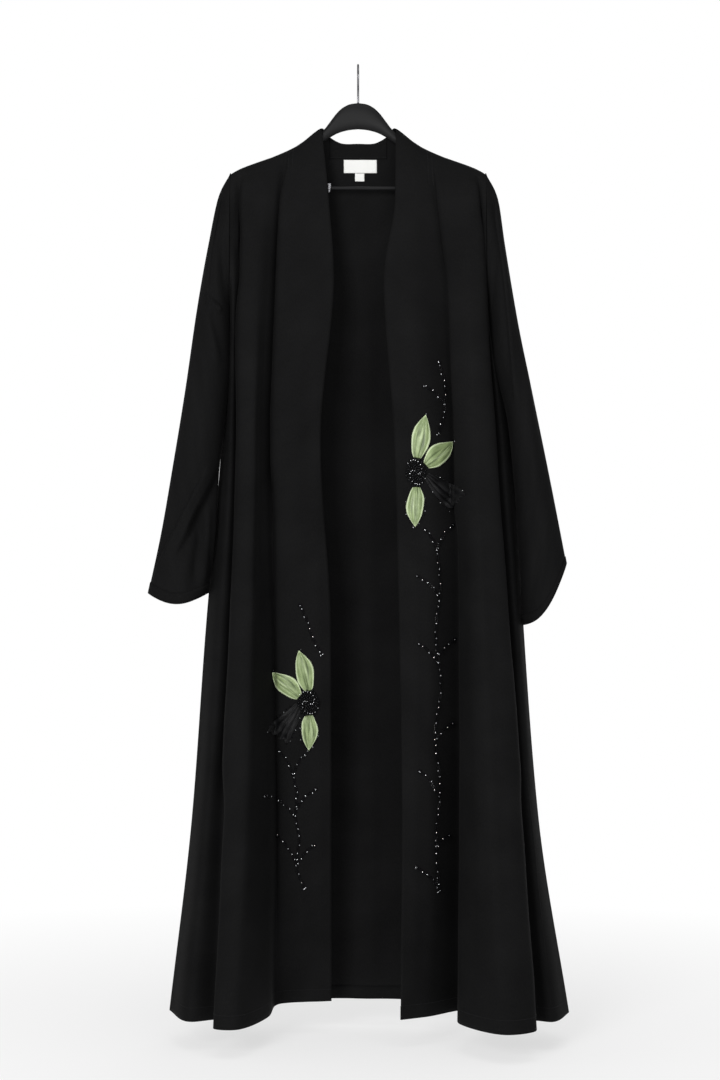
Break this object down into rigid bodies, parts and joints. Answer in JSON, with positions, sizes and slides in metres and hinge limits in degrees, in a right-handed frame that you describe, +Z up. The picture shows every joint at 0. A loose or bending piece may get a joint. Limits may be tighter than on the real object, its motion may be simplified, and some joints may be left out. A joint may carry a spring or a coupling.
{
  "type": "abaya cloak on a clothes hanger",
  "caption": "Long open-front black abaya cloak with wide sleeves and green satin flowers with beaded stems, hung on a dark clothes hanger with a trouser bar",
  "frame": {"origin": "Inner top of the hanger's hook, where the rail bears on it.", "axes": "+Z up; the cloak's open front faces -Y; +X is on the right of someone who faces the cloak."},
  "size_m": [0.6721, 0.3361, 1.5136],
  "materials": {
    "black_crepe": "matte black crepe",
    "black_organza": "sheer black organza, crinkled",
    "green_satin": "sage green satin",
    "black_beads": "faceted black beads sewn close together",
    "label_tape": "white woven tape, bare",
    "hanger_plastic": "charcoal plastic, soft sheen",
    "hook_steel": "dark plated wire"
  },
  "bodies": {
    "root": {"front_left": "black_crepe", "front_right": "black_crepe", "back": "black_crepe", "sleeve_left": "black_crepe", "sleeve_right": "black_crepe", "neck_facing": "black_crepe", "neck_label": "label_tape", "size_tab": "label_tape", "left_petal_upper": "green_satin", "left_petal_side": "green_satin", "left_petal_lower": "green_satin", "left_petal_dark": "black_organza", "left_flower_centre": "black_beads", "right_petal_upper": "green_satin", "right_petal_side": "green_satin", "right_petal_lower": "green_satin", "right_petal_dark": "black_organza", "right_flower_centre": "black_beads", "hanger_body": "hanger_plastic", "hanger_bar": "hanger_plastic", "hanger_hook": "hook_steel", "bar_clip": "hook_steel"}
  },
  "joints": []
}
